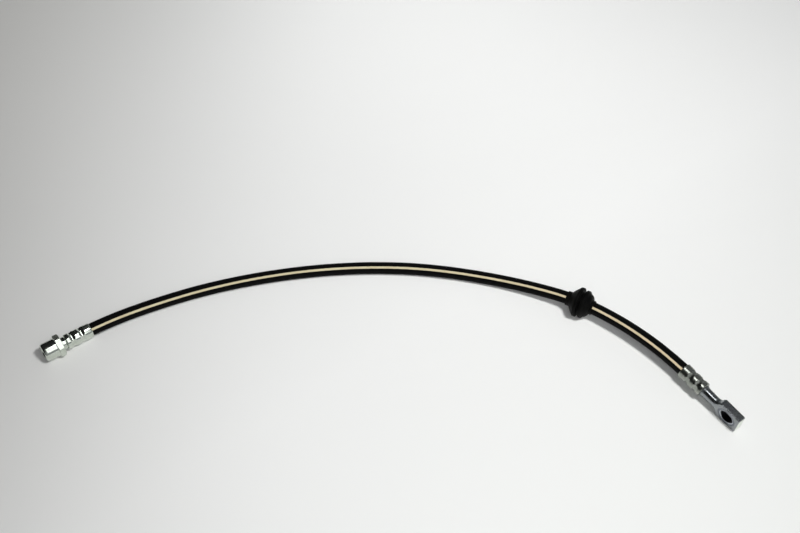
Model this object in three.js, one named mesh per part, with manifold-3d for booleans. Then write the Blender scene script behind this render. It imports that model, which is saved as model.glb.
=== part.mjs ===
// A car's hydraulic brake hose: a female tube-nut fitting, a crimped rubber hose with its layers,
// a bracket grommet on the hose and a banjo eye fitting. Millimetres, +Z up, lying on z = 0.
// The origin is under the middle of the box round the two end fittings.
// X runs along the female fitting from its port to the hose, and the hose bends round towards -Y.
import * as THREE from 'three';
import { mergeVertices } from 'three/addons/utils/BufferGeometryUtils.js';
import Module from 'manifold-3d';

// Hose build-up, from the outside in.
const hoseDiameter = 10.5;
const hoseBore = 3.2;
const coverWall = 1.6;
const braidWall = 0.35;
const layerGap = 0.2;
const hoseSides = 12;
const hoseSteps = 20;

// Gap that two parts keep where they fit one in or against the other.
const fitGap = 0.3;

// Crimp ferrule, alike at both ends. Distances run from its mouth, where the hose goes in.
const ferruleLength = 21.8;
const ferruleWall = 0.8;
const femaleMouthFlare = -0.3;
const banjoMouthFlare = 0.2;
const mouthRound = 0.45;
const crimpDepth = 1.1;
const crimpWidth = 5.6;
const firstCrimpAt = 8.4;
const crimpPitch = 8;
const crimpJaws = 8;
const ferruleEndWall = 1.6;
const ferruleEndChamfer = 0.9;

// Stem of each fitting, pushed into the bore of the hose, with the brake fluid's way through it.
const stemDiameter = 3;
const stemBore = 1.6;
const stemShort = 2.5;
const stemNeckDiameter = 6.4;

// Female tube-nut fitting, turned from hexagon bar.
const femaleShoulderDiameter = 10.2;
const femaleShoulderLength = 3;
const hexSides = 6;
const hexAcrossFlats = 17;
const hexLength = 4.7;
const hexCornerTrim = 0.3;
const hexRollDegrees = -5.6;
const noseDiameter = 15.3;
const noseLength = 11.1;
const noseChamfer = 0.9;
const portDiameter = 9;
const portDepth = 9.6;
const portChamfer = 0.6;
const seatHeight = 1.6;
const seatTopDiameter = 3;

// Banjo eye fitting, with the bolt's hole square through a flat block.
const neckDiameter = 8.4;
const neckWaistDiameter = 7.9;
const neckLength = 15.9;
const shoulderDiameter = 9.8;
const shoulderLength = 2.2;
const blockLength = 20.4;
const blockWidth = 18.6;
const blockThickness = 6.6;
const blockCornerRadius = 1.6;
const blockRearFillet = 4.2;
const blockRearRound = 3.2;
const blockRearSlope = 0.9;
const boltHoleAt = 9.8;
const boltHoleDiameter = 10.2;
const boltHoleChamfer = 1.1;
const blockLeanDegrees = 7.4;

// Bracket grommet moulded round the hose, with a slot for the bracket's plate between two flanges.
const grommetBack = 10.3;
const grommetFront = 13.3;
const grommetSleeveWall = 0.95;
const backSleeveLength = 3.6;
const backSleeveStep = 1.4;
const frontSleeveLength = 2.2;
const backFlangeDiameter = 25.8;
const frontFlangeDiameter = 24.2;
const slotFloorDiameter = 19;
const slotWidth = 1.9;
const flangeRim = 3.2;
const flangeRound = 0.9;
const grommetFromBanjoMouth = 101.6;

// Way of the hose between the ferrules' mouths. Each fitting's heading is seen from above, and its
// droop is how far its free end points below the level.
const femaleHeadingDegrees = 180.8;
const femaleDroopDegrees = -3;
const banjoHeadingDegrees = -91.6;
const banjoDroopDegrees = 3.5;
const hoseRoute = [
  [-161.4, 186.8, 8.13],
  [-138.8, 185.7, 6.9],
  [-116.3, 182.4, 6.1],
  [-93.9, 177.6, 5.6],
  [-71.7, 171.6, 5.4],
  [-49.9, 164.1, 5.4],
  [-28.4, 155.5, 5.4],
  [-7.3, 145.8, 5.4],
  [13.2, 135.2, 5.4],
  [33.1, 123.7, 5.4],
  [52.4, 111.2, 5.4],
  [70.9, 97.8, 5.4],
  [88.7, 83.4, 5.4],
  [105.5, 67.9, 5.4],
  [121.3, 51.4, 5.5],
  [136.2, 33.7, 6],
  [149.8, 15.0, 7.3],
  [161.9, -4.6, 9.4],
  [172.5, -25.1, 11.9],
  [181.2, -46.3, 13.5],
  [188.0, -68.1, 13.9],
  [192.8, -90.5, 13.9],
  [195.5, -113.3, 13.7],
  [196.2, -136.5, 13.12],
];

const roundSegments = 28;
const holeSegments = 32;
const filletSegments = 4;
const cutOverrun = 1;

const hoseRadius = hoseDiameter / 2;
const ferruleBoreRadius = hoseRadius + fitGap;
const ferruleRadius = ferruleBoreRadius + ferruleWall;
const hoseInside = ferruleLength - ferruleEndWall - fitGap;
const crimpsAt = [firstCrimpAt, firstCrimpAt + crimpPitch];
const stemRadius = stemDiameter / 2;
const hexCornerRadius = hexAcrossFlats / 2 / Math.cos(Math.PI / hexSides);
const hexHeight = hexCornerRadius - hexCornerTrim;

const wasm = await Module();
wasm.setup();

// A closed three.js geometry as a solid that can be joined and cut.
function solidOf(geometry) {
  const bare = geometry.clone();
  bare.deleteAttribute('normal');
  bare.deleteAttribute('uv');
  const merged = mergeVertices(bare, 1e-4);
  const corners = [...merged.index.array];
  const faces = [];
  for (let i = 0; i < corners.length; i += 3) {
    const [a, b, c] = corners.slice(i, i + 3);
    if (a !== b && b !== c && c !== a) faces.push(a, b, c);
  }
  return new wasm.Manifold(new wasm.Mesh({
    numProp: 3,
    vertProperties: merged.attributes.position.array,
    triVerts: new Uint32Array(faces),
  }));
}

function geometryOf(solid) {
  const { vertProperties, triVerts } = solid.getMesh();
  const indexed = new THREE.BufferGeometry()
    .setAttribute('position', new THREE.BufferAttribute(vertProperties, 3))
    .setIndex(new THREE.BufferAttribute(triVerts, 1));
  const faceted = indexed.toNonIndexed();
  faceted.computeVertexNormals();
  return faceted;
}

// A turned form round the X axis, from [along, radius] points.
function turned(profile, segments = roundSegments) {
  const points = profile.map(([along, radius]) => new THREE.Vector2(radius, along));
  return new THREE.LatheGeometry(points, segments).rotateZ(-Math.PI / 2);
}

// Points of a quarter round from one angle to another, in degrees, about a centre [along, radius].
function arc([along, radius], size, fromDegrees, toDegrees, count = filletSegments) {
  const points = [];
  for (let i = 0; i <= count; i += 1) {
    const angle = THREE.MathUtils.degToRad(fromDegrees + (toDegrees - fromDegrees) * i / count);
    points.push([along + size * Math.cos(angle), radius + size * Math.sin(angle)]);
  }
  return points;
}

// A round section of the hose, as a full disc or as a ring.
function hoseSection(outer, inner) {
  const corners = (radius) => Array.from({ length: hoseSides }, (_, i) => {
    const angle = (i + 0.5) * 2 * Math.PI / hoseSides;
    return new THREE.Vector2(radius * Math.cos(angle), radius * Math.sin(angle));
  });
  const section = new THREE.Shape(corners(outer));
  if (inner) section.holes.push(new THREE.Path(corners(inner)));
  return section;
}

// Where each end's own frame stands: its origin at the ferrule's mouth, its X axis out of the hose.
function endFrame(mouth, headingDegrees, droopDegrees, rollDegrees) {
  const frame = new THREE.Group();
  const turns = [rollDegrees, droopDegrees, headingDegrees].map(THREE.MathUtils.degToRad);
  frame.position.set(...mouth);
  frame.rotation.set(...turns, 'ZYX');
  frame.updateMatrixWorld(true);
  return frame;
}

const femaleFrame = endFrame(hoseRoute[0],
  femaleHeadingDegrees, femaleDroopDegrees, hexRollDegrees);
const banjoFrame = endFrame(hoseRoute[hoseRoute.length - 1],
  banjoHeadingDegrees, banjoDroopDegrees, blockLeanDegrees);

// The hose's middle line, with its straight ends inside the ferrules.
function insideFerrule(frame, depth) {
  return new THREE.Vector3(depth, 0, 0).applyMatrix4(frame.matrixWorld);
}
const hoseLine = new THREE.CatmullRomCurve3([
  insideFerrule(femaleFrame, hoseInside),
  insideFerrule(femaleFrame, hoseInside / 2),
  ...hoseRoute.map((point) => new THREE.Vector3(...point)),
  insideFerrule(banjoFrame, hoseInside / 2),
  insideFerrule(banjoFrame, hoseInside),
]);

function alongHose(outer, inner) {
  return new THREE.ExtrudeGeometry(hoseSection(outer, inner),
    { steps: hoseSteps, extrudePath: hoseLine });
}

// The crimp's rounded waist between the two sides of one groove, as [along, depth] points.
function crimpCurve(centre, depth, width) {
  const points = [];
  const count = 4;
  for (let i = 0; i <= count; i += 1) {
    const across = -1 + 2 * i / count;
    const share = (1 + Math.cos(Math.PI * across)) / 2;
    points.push([centre + across * width / 2, depth * share]);
  }
  return points;
}

// The inner wall of the ferrule: straight, and drawn in at each crimp, less a clearance.
function innerWall(clearance) {
  const radius = ferruleBoreRadius - clearance;
  return crimpsAt.flatMap((centre) => crimpCurve(centre, crimpDepth, crimpWidth)
    .map(([along, depth]) => [along, radius - depth]));
}

// One jaw ring pressed into the ferrule: flat jaws, so its hole has as many sides as jaws.
function jawRing(centre) {
  const cornerRadius = ferruleRadius / Math.cos(Math.PI / crimpJaws);
  const outside = cornerRadius + 2 * cutOverrun;
  const waist = crimpCurve(centre, crimpDepth, crimpWidth)
    .map(([along, depth]) => [along, cornerRadius - depth])
    .reverse();
  const ring = [
    [centre - crimpWidth / 2, outside],
    [centre + crimpWidth / 2, outside],
    ...waist,
    [centre - crimpWidth / 2, outside],
  ];
  return solidOf(turned(ring, crimpJaws));
}

function ferruleGeometry(mouthFlare) {
  const mouthRadius = ferruleRadius + mouthFlare;
  const outside = solidOf(turned([
    [0, 0],
    [0, mouthRadius - mouthRound],
    ...arc([mouthRound, mouthRadius - mouthRound], mouthRound, 180, 90),
    [firstCrimpAt - crimpWidth / 2, ferruleRadius],
    [ferruleLength - ferruleEndChamfer, ferruleRadius],
    [ferruleLength, ferruleRadius - ferruleEndChamfer],
    [ferruleLength, 0],
  ]));
  const pocketEnd = ferruleLength - ferruleEndWall;
  const pocket = solidOf(turned([
    [-cutOverrun, 0],
    [-cutOverrun, ferruleBoreRadius],
    ...innerWall(0),
    [pocketEnd, ferruleBoreRadius],
    [pocketEnd, 0],
  ]));
  const neckHoleRadius = stemNeckDiameter / 2 + fitGap;
  const neckHole = solidOf(turned([
    [pocketEnd - cutOverrun, 0],
    [pocketEnd - cutOverrun, neckHoleRadius],
    [ferruleLength + cutOverrun, neckHoleRadius],
    [ferruleLength + cutOverrun, 0],
  ]));
  return geometryOf(crimpsAt
    .reduce((body, centre) => body.subtract(jawRing(centre)), outside)
    .subtract(pocket)
    .subtract(neckHole));
}

// The sleeve that squeezes the hose's cover under the ferrule, in the frame of one end.
function squeezeRing(frame) {
  const outer = ferruleRadius + banjoMouthFlare + cutOverrun;
  const ring = turned([
    [-fitGap, outer],
    [ferruleLength, outer],
    [ferruleLength, hoseRadius],
    ...innerWall(fitGap).reverse(),
    [-fitGap, hoseRadius],
    [-fitGap, outer],
  ]);
  return solidOf(ring.applyMatrix4(frame.matrixWorld));
}

// The bore of the hose, opened by the stem that is pushed into it.
function stemRoom(frame) {
  const room = turned([
    [ferruleLength - ferruleEndWall - hoseInside - fitGap + stemShort, 0],
    [ferruleLength - ferruleEndWall - hoseInside - fitGap + stemShort, stemRadius + fitGap],
    [ferruleLength, stemRadius + fitGap],
    [ferruleLength, 0],
  ]);
  return solidOf(room.applyMatrix4(frame.matrixWorld));
}

// The stem with its neck through the ferrule's end, back to where the fitting's body starts.
const stemTip = stemShort + fitGap;
const stemProfile = [
  [stemTip, 0],
  [stemTip, stemRadius - fitGap],
  [stemTip + fitGap, stemRadius],
  [ferruleLength - ferruleEndWall, stemRadius],
  [ferruleLength - ferruleEndWall, stemNeckDiameter / 2],
  [ferruleLength + fitGap, stemNeckDiameter / 2],
];

// The hexagon's bar length, its corners turned off to a cone at both faces.
function hexCollar(start) {
  const outline = new THREE.Shape(Array.from({ length: hexSides }, (_, i) => {
    const angle = Math.PI / 2 + i * 2 * Math.PI / hexSides;
    return new THREE.Vector2(
      hexCornerRadius * Math.cos(angle),
      hexCornerRadius * Math.sin(angle),
    );
  }));
  const prism = new THREE.ExtrudeGeometry(outline, { depth: hexLength, bevelEnabled: false })
    .rotateZ(Math.PI / 2)
    .rotateY(Math.PI / 2)
    .translate(start, 0, 0);
  const flat = hexAcrossFlats / 2;
  const slope = (hexHeight - flat) * Math.tan(Math.PI / 6);
  const barrel = turned([
    [start - cutOverrun, 0],
    [start - cutOverrun, flat],
    [start, flat],
    [start + slope, hexHeight],
    [start + hexLength - slope, hexHeight],
    [start + hexLength, flat],
    [start + hexLength + cutOverrun, flat],
    [start + hexLength + cutOverrun, 0],
  ]);
  return solidOf(prism).intersect(solidOf(barrel));
}

function femaleFittingGeometry() {
  const bodyStart = ferruleLength + fitGap;
  const hexStart = bodyStart + femaleShoulderLength;
  const tip = hexStart + hexLength + noseLength;
  const noseRadius = noseDiameter / 2;
  const body = solidOf(turned([
    ...stemProfile,
    [bodyStart, femaleShoulderDiameter / 2],
    [hexStart, femaleShoulderDiameter / 2],
    [hexStart, noseRadius],
    [tip - noseChamfer, noseRadius],
    [tip, noseRadius - noseChamfer],
    [tip, 0],
  ]));
  const portRadius = portDiameter / 2;
  const portFloor = tip - portDepth;
  const passage = solidOf(turned([
    [stemTip - cutOverrun, 0],
    [stemTip - cutOverrun, stemBore / 2],
    [portFloor + seatHeight, stemBore / 2],
    [portFloor + seatHeight, seatTopDiameter / 2],
    [portFloor, portRadius - portChamfer],
    [portFloor, portRadius],
    [tip - portChamfer, portRadius],
    [tip, portRadius + portChamfer],
    [tip + cutOverrun, portRadius + portChamfer],
    [tip + cutOverrun, 0],
  ]));
  return geometryOf(body.add(hexCollar(hexStart)).subtract(passage));
}

// The outline of the eye block seen along the bolt's hole, drawn out to the neck by two fillets.
function blockOutline(start) {
  const waist = neckWaistDiameter / 2;
  const half = blockWidth / 2;
  const middle = (waist + half) / 2;
  const rear = start - blockRearFillet;
  const end = start + blockLength;
  const insideNeck = Math.sqrt(waist ** 2 - (blockThickness / 2) ** 2);
  const outline = new THREE.Shape();
  outline.moveTo(rear, -insideNeck);
  outline.quadraticCurveTo(start - blockRearSlope, -waist, start, -middle);
  outline.quadraticCurveTo(start + blockRearSlope, -half, start + blockRearRound, -half);
  outline.lineTo(end - blockCornerRadius, -half);
  outline.quadraticCurveTo(end, -half, end, -half + blockCornerRadius);
  outline.lineTo(end, half - blockCornerRadius);
  outline.quadraticCurveTo(end, half, end - blockCornerRadius, half);
  outline.lineTo(start + blockRearRound, half);
  outline.quadraticCurveTo(start + blockRearSlope, half, start, middle);
  outline.quadraticCurveTo(start - blockRearSlope, waist, rear, insideNeck);
  outline.closePath();
  return outline;
}

function banjoFittingGeometry() {
  const bodyStart = ferruleLength + fitGap;
  const waist = neckWaistDiameter / 2;
  const blockStart = bodyStart + neckLength;
  const holeAt = blockStart + boltHoleAt;
  const body = solidOf(turned([
    ...stemProfile,
    [bodyStart, shoulderDiameter / 2],
    [bodyStart + shoulderLength, neckDiameter / 2],
    [blockStart - blockRearFillet, waist],
    [blockStart + blockRearFillet, blockThickness / 2 - fitGap],
    [holeAt, 0],
  ]));
  const block = new THREE.ExtrudeGeometry(blockOutline(blockStart),
    { depth: blockThickness, bevelEnabled: false, curveSegments: filletSegments })
    .translate(0, 0, -blockThickness / 2)
    .rotateX(Math.PI / 2);
  const holeRadius = boltHoleDiameter / 2;
  const halfDepth = blockThickness / 2;
  const hole = turned([
    [-halfDepth - cutOverrun, 0],
    [-halfDepth - cutOverrun, holeRadius + boltHoleChamfer + cutOverrun],
    [-halfDepth + boltHoleChamfer, holeRadius],
    [halfDepth - boltHoleChamfer, holeRadius],
    [halfDepth + cutOverrun, holeRadius + boltHoleChamfer + cutOverrun],
    [halfDepth + cutOverrun, 0],
  ], holeSegments).rotateZ(Math.PI / 2).translate(holeAt, 0, 0);
  const passage = turned([
    [stemTip - cutOverrun, 0],
    [stemTip - cutOverrun, stemBore / 2],
    [holeAt, stemBore / 2],
    [holeAt, 0],
  ]);
  return geometryOf(body.add(solidOf(block)).subtract(solidOf(hole)).subtract(solidOf(passage)));
}

// The grommet's own frame stands on the hose, its X axis along the hose towards the banjo end.
function grommetFrame() {
  const frame = new THREE.Group();
  const along = 1 - (hoseInside + grommetFromBanjoMouth) / hoseLine.getLength();
  const way = hoseLine.getTangentAt(along);
  frame.position.copy(hoseLine.getPointAt(along));
  frame.quaternion.setFromUnitVectors(new THREE.Vector3(1, 0, 0), way);
  frame.updateMatrixWorld(true);
  return frame;
}

function grommetGeometry(frame) {
  const sleeve = hoseRadius + grommetSleeveWall;
  const back = backFlangeDiameter / 2;
  const front = frontFlangeDiameter / 2;
  const slotFloor = slotFloorDiameter / 2;
  const slotStart = flangeRim / 2;
  const slotEnd = slotStart + slotWidth;
  const domeEnd = grommetFront - frontSleeveLength;
  const domeDepth = domeEnd - slotEnd;
  const domeStretch = (front - flangeRound - sleeve) / domeDepth;
  const outside = solidOf(turned([
    [-grommetBack, 0],
    [-grommetBack, sleeve],
    [-grommetBack + backSleeveLength, sleeve],
    [-grommetBack + backSleeveLength + backSleeveStep / 2, sleeve + backSleeveStep],
    ...arc([-slotStart + flangeRound, back - flangeRound], flangeRound, 135, 90, 2),
    ...arc([slotStart - flangeRound, back - flangeRound], flangeRound, 90, 0, 2),
    [slotStart, slotFloor],
    [slotEnd, slotFloor],
    ...arc([slotEnd + flangeRound, front - flangeRound], flangeRound, 180, 90, 2),
    ...arc([slotEnd + flangeRim - flangeRound, front - flangeRound], flangeRound, 90, 45, 2),
    ...arc([domeEnd - domeDepth, sleeve], domeDepth, 60, 0)
      .map(([along, radius]) => [along, sleeve + (radius - sleeve) * domeStretch]),
    [grommetFront, sleeve],
    [grommetFront, 0],
  ]));
  const room = alongHose(hoseRadius + fitGap).applyMatrix4(frame.matrixWorld.clone().invert());
  return geometryOf(outside.subtract(solidOf(room)));
}

const zincPlated = new THREE.MeshStandardMaterial({ color: 0xb9bfb9, roughness: 0.3, metalness: 1 });
const greySteel = new THREE.MeshStandardMaterial({ color: 0x8b9193, roughness: 0.4, metalness: 1 });
const blackRubber = new THREE.MeshStandardMaterial({ color: 0x131313, roughness: 0.6, metalness: 0 });
const linerRubber = new THREE.MeshStandardMaterial({ color: 0x2a2725, roughness: 0.7, metalness: 0 });
const braidYarn = new THREE.MeshStandardMaterial({ color: 0xd8d0b8, roughness: 0.9, metalness: 0 });

function piece(name, geometry, material) {
  const mesh = new THREE.Mesh(geometry, material);
  mesh.name = name;
  return mesh;
}

const brakeHose = new THREE.Group();
brakeHose.add(femaleFrame, banjoFrame);
femaleFrame.add(
  piece('female_end_fitting', femaleFittingGeometry(), zincPlated),
  piece('female_end_ferrule', ferruleGeometry(femaleMouthFlare), zincPlated),
);
banjoFrame.add(
  piece('banjo_fitting', banjoFittingGeometry(), greySteel),
  piece('banjo_end_ferrule', ferruleGeometry(banjoMouthFlare), zincPlated),
);

// The layers of the hose, each closed to the next by the same small gap.
const frames = [femaleFrame, banjoFrame];
const coverInner = hoseRadius - coverWall;
const outerBraidOuter = coverInner - layerGap;
const innerBraidOuter = outerBraidOuter - braidWall - layerGap;
const innerTubeOuter = innerBraidOuter - braidWall - layerGap;
const cover = frames.reduce((body, frame) => body.subtract(squeezeRing(frame)),
  solidOf(alongHose(hoseRadius, coverInner)));
const innerTube = frames.reduce((body, frame) => body.subtract(stemRoom(frame)),
  solidOf(alongHose(innerTubeOuter, hoseBore / 2)));
brakeHose.add(
  piece('hose_cover', geometryOf(cover), blackRubber),
  piece('outer_braid', alongHose(outerBraidOuter, outerBraidOuter - braidWall), braidYarn),
  piece('inner_braid', alongHose(innerBraidOuter, innerBraidOuter - braidWall), braidYarn),
  piece('inner_tube', geometryOf(innerTube), linerRubber),
);

const onHose = grommetFrame();
onHose.add(piece('bracket_grommet', grommetGeometry(onHose), blackRubber));
brakeHose.add(onHose);

export default brakeHose;
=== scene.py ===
"""A car's brake hose on a pale table: two crimped end fittings, a striped hose and its grommet."""
import logging
import math
from dataclasses import dataclass, field, replace
from enum import Enum
from typing import Callable

import bmesh
import bpy
import numpy as np
from bmesh.types import BMesh
from mathutils import Matrix, Vector


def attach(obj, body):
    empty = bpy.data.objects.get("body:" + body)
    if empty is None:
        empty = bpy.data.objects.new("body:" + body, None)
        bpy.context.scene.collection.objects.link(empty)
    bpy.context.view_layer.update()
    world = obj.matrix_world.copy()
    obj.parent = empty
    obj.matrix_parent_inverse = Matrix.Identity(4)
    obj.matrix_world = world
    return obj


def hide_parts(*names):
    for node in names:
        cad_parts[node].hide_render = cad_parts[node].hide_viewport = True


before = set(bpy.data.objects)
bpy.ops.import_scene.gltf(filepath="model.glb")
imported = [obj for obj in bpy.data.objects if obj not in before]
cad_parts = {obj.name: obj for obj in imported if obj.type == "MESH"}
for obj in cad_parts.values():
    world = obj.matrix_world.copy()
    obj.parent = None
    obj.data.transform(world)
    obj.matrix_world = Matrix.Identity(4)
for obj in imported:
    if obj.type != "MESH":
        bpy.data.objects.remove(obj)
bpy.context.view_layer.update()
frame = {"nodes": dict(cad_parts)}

log = logging.getLogger("brake_hose")

Point = tuple[float, float, float]
Shade = tuple[float, float, float]
Pair = tuple[float, float]
Profile = list[Pair]
Place = Callable[[Vector], Vector]
Socket = bpy.types.NodeSocket
MM = 0.001
FULL_TURN = 2 * math.pi
SHARP_DEGREES = 32.0
MERGE_MM = 1e-4


class Slot(Enum):
    """The record's material slots."""

    ZINC = "zinc_plated_steel"
    GREY_STEEL = "grey_passivated_steel"
    RUBBER = "black_rubber"


class EndFitting(Enum):
    """The two ends of the hose, by the prefix of their pieces' names."""

    FEMALE = "female_end"
    BANJO = "banjo_end"


# Materials


class Shader:
    """The nodes of a new material or of the world, and short calls to add more."""

    def __init__(self, owner: bpy.types.Material | bpy.types.World) -> None:
        """Turns the owner's nodes on.

        Args:
            owner: the material or the world.
        """
        owner.use_nodes = True
        self.owner = owner
        self.nodes = owner.node_tree.nodes
        self.links = owner.node_tree.links
        self.principled = self.nodes.get("Principled BSDF")

    def add(self, kind: str, vector: Socket | None = None, **settings: object) -> bpy.types.Node:
        """Adds a node.

        Args:
            kind: the node's type name.
            vector: what feeds its Vector input, if anything does.
            **settings: properties to set on it.

        Returns:
            The node.
        """
        node = self.nodes.new(kind)
        for name, value in settings.items():
            setattr(node, name, value)
        if vector is not None:
            self.link(vector, node.inputs["Vector"])
        return node

    def link(self, source: Socket, target: Socket) -> None:
        """Links one socket to another."""
        self.links.new(source, target)

    @staticmethod
    def put(node: bpy.types.Node, **values: object) -> None:
        """Sets a node's inputs by name, with an underscore for each space."""
        for name, value in values.items():
            node.inputs[name.replace("_", " ")].default_value = value

    def coordinates(self, source: str, scale: Point = (1.0, 1.0, 1.0)) -> Socket:
        """Gives scaled texture coordinates.

        Args:
            source: Object, or UV for the piece's own map of millimetres along and turns around.
            scale: factors on the three coordinates.

        Returns:
            The vector socket.
        """
        place = self.add("ShaderNodeTexCoord").outputs[source]
        mapping = self.add("ShaderNodeMapping", place)
        self.put(mapping, Scale=scale)
        return mapping.outputs["Vector"]

    def noise(self, vector: Socket, scale: float, detail: float) -> Socket:
        """Adds noise.

        Args:
            vector: where to read it.
            scale: its scale.
            detail: its octaves.

        Returns:
            The noise's value, from 0 to 1.
        """
        node = self.add("ShaderNodeTexNoise", vector)
        self.put(node, Scale=scale, Detail=detail)
        return node.outputs["Fac"]

    def spread(
        self, value: Socket, low: float, high: float,
        start: float = 0.3, end: float = 0.7, smooth: bool = False,
    ) -> Socket:
        """Maps a value's range to another range.

        Args:
            value: the value read.
            low: the result at start and below.
            high: the result at end and above.
            start: where the change begins.
            end: where the change is complete.
            smooth: whether the change eases in and out.

        Returns:
            The mapped value.
        """
        node = self.add("ShaderNodeMapRange")
        if smooth:
            node.interpolation_type = "SMOOTHSTEP"
        self.put(node, From_Min=start, From_Max=end, To_Min=low, To_Max=high)
        self.link(value, node.inputs["Value"])
        return node.outputs["Result"]

    def math(self, operation: str, first: Socket, second: Socket | float) -> Socket:
        """Joins two values.

        Args:
            operation: the Math node's operation.
            first: the first value.
            second: the second value, a socket or a number.

        Returns:
            The result.
        """
        node = self.add("ShaderNodeMath", operation=operation)
        self.link(first, node.inputs[0])
        if isinstance(second, (int, float)):
            node.inputs[1].default_value = second
        else:
            self.link(second, node.inputs[1])
        return node.outputs["Value"]

    def mix(self, share: Socket, first: Socket | Shade, second: Socket | Shade) -> Socket:
        """Mixes two colours.

        Args:
            share: how much of the second shows.
            first: a colour or a socket.
            second: a colour or a socket.

        Returns:
            The mixed colour.
        """
        node = self.add("ShaderNodeMix", data_type="RGBA")
        colours = [socket for socket in node.inputs if socket.type == "RGBA"]
        self.link(share, node.inputs["Factor"])
        for socket, value in zip(colours, (first, second)):
            if isinstance(value, Socket):
                self.link(value, socket)
            else:
                socket.default_value = (*value, 1.0)
        return next(socket for socket in node.outputs if socket.type == "RGBA")

    def bump(self, *layers: tuple[Socket, float, float]) -> None:
        """Adds bump layers, each a height, a strength and a depth in metres.

        Args:
            *layers: the layers, from the coarsest to the finest.
        """
        normal = None
        for height, strength, distance in layers:
            node = self.add("ShaderNodeBump")
            self.put(node, Strength=strength, Distance=distance)
            self.link(height, node.inputs["Height"])
            if normal is not None:
                self.link(normal, node.inputs["Normal"])
            normal = node.outputs["Normal"]
        self.link(normal, self.principled.inputs["Normal"])

    def split(self, vector: Socket) -> bpy.types.bpy_prop_collection:
        """Splits a vector into its three values, by the names X, Y and Z."""
        return self.add("ShaderNodeSeparateXYZ", vector).outputs

    def finish(self, colour: Socket, roughness: Socket) -> bpy.types.Material:
        """Links the colour and the roughness to the shader.

        Args:
            colour: the colour.
            roughness: the roughness.

        Returns:
            The material.
        """
        self.link(colour, self.principled.inputs["Base Color"])
        self.link(roughness, self.principled.inputs["Roughness"])
        return self.owner


@dataclass(frozen=True)
class EyePaintedLight:
    """Painted shade and painted highlight round the axis of the bolt's hole: a dark painted shade ring
    out to the spot face's edge, a pale painted highlight ring at the chamfer, black painted shade in the
    bore, and a painted highlight that makes the end face paler.
    """

    centre: Point
    turn: Point
    radii: tuple[float, ...]
    end_at: float
    # Widest first: a dark painted shade ring out to the spot face, a pale painted highlight ring at the
    # chamfer, black painted shade in the bore.
    painted_ring_shade_and_highlight: tuple[Shade, ...] = (
        (0.13, 0.14, 0.165), (0.46, 0.48, 0.52), (0.006, 0.006, 0.007))
    # A paler colour on the eye's end face: painted highlight.
    painted_end_highlight: Shade = (0.72, 0.76, 0.68)
    blur: float = 0.12

    def over(self, shader: Shader, colour: Socket) -> Socket:
        """Lays the rings of painted shade and painted highlight over a colour, from the widest to the
        narrowest, then the painted highlight on the end face.

        Args:
            shader: the material's shader.
            colour: the colour outside the rings.

        Returns:
            The colour with the rings.
        """
        place = shader.add("ShaderNodeTexCoord").outputs["Object"]
        mapping = shader.add("ShaderNodeMapping", place, vector_type="TEXTURE")
        shader.put(mapping, Location=self.centre, Rotation=self.turn, Scale=(MM, MM, MM))
        local = mapping.outputs["Vector"]
        flat = shader.add("ShaderNodeVectorMath", local, operation="MULTIPLY")
        flat.inputs[1].default_value = (1.0, 0.0, 1.0)
        away = shader.add("ShaderNodeVectorMath", flat.outputs["Vector"], operation="LENGTH")
        # Each ring paints shade or highlight over the plating's colour.
        for radius, shade in zip(self.radii, self.painted_ring_shade_and_highlight):
            inside = shader.spread(
                away.outputs["Value"], 1.0, 0.0, radius - self.blur, radius + self.blur)
            colour = shader.mix(inside, colour, shade)
        # The end face is painted paler, as painted highlight.
        along = shader.split(local)["X"]
        end = shader.spread(along, 0.0, 1.0, self.end_at - 2 * self.blur, self.end_at - self.blur)
        return shader.mix(end, colour, self.painted_end_highlight)


@dataclass(frozen=True)
class PlatedSteel:
    """Turned or forged steel under plating, with fine tool lines round each form."""

    name: str
    colour: Shade
    tint: Shade
    smoothest: float
    roughest: float
    line_depth: float = 0.00002
    grain_depth: float = 0.000006
    # Painted shade and painted highlight round the bolt's hole, where a plating has them.
    eye: EyePaintedLight | None = None
    cloud_scale: float = 190.0
    speck_scale: float = 1900.0
    line_scale: float = 9.0
    around_scale: float = 1.5
    worn_shade: float = 0.6
    worn_share: float = 0.35
    worn_from: float = 0.55
    worn_to: float = 0.75
    streak: float = 0.04
    speck_bump: float = 0.35
    line_bump: float = 0.5

    def material(self) -> bpy.types.Material:
        """Builds the finish.

        Returns:
            The material.
        """
        shader = Shader(bpy.data.materials.new(self.name))
        body = shader.coordinates("Object")
        turned = shader.coordinates("UV", (1.0, self.around_scale, 1.0))
        clouds = shader.noise(body, self.cloud_scale, 4.0)
        specks = shader.noise(body, self.speck_scale, 3.0)
        lines = shader.noise(turned, self.line_scale, 5.0)
        tinted = shader.mix(shader.spread(clouds, 0.0, 1.0), self.colour, self.tint)
        share = shader.spread(specks, 0.0, self.worn_share, self.worn_from, self.worn_to)
        worn = shader.mix(share, tinted, tuple(c * self.worn_shade for c in self.tint))
        # Lays the painted shade and painted highlight of the bolt's hole over the colour.
        if self.eye is not None:
            worn = self.eye.over(shader, worn)
        rough = shader.spread(clouds, self.smoothest, self.roughest)
        streaks = shader.spread(lines, -self.streak, self.streak)
        shader.put(shader.principled, Metallic=1.0)
        shader.bump((specks, self.speck_bump, self.grain_depth), (lines, self.line_bump, self.line_depth))
        return shader.finish(worn, shader.math("ADD", rough, streaks))


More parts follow.
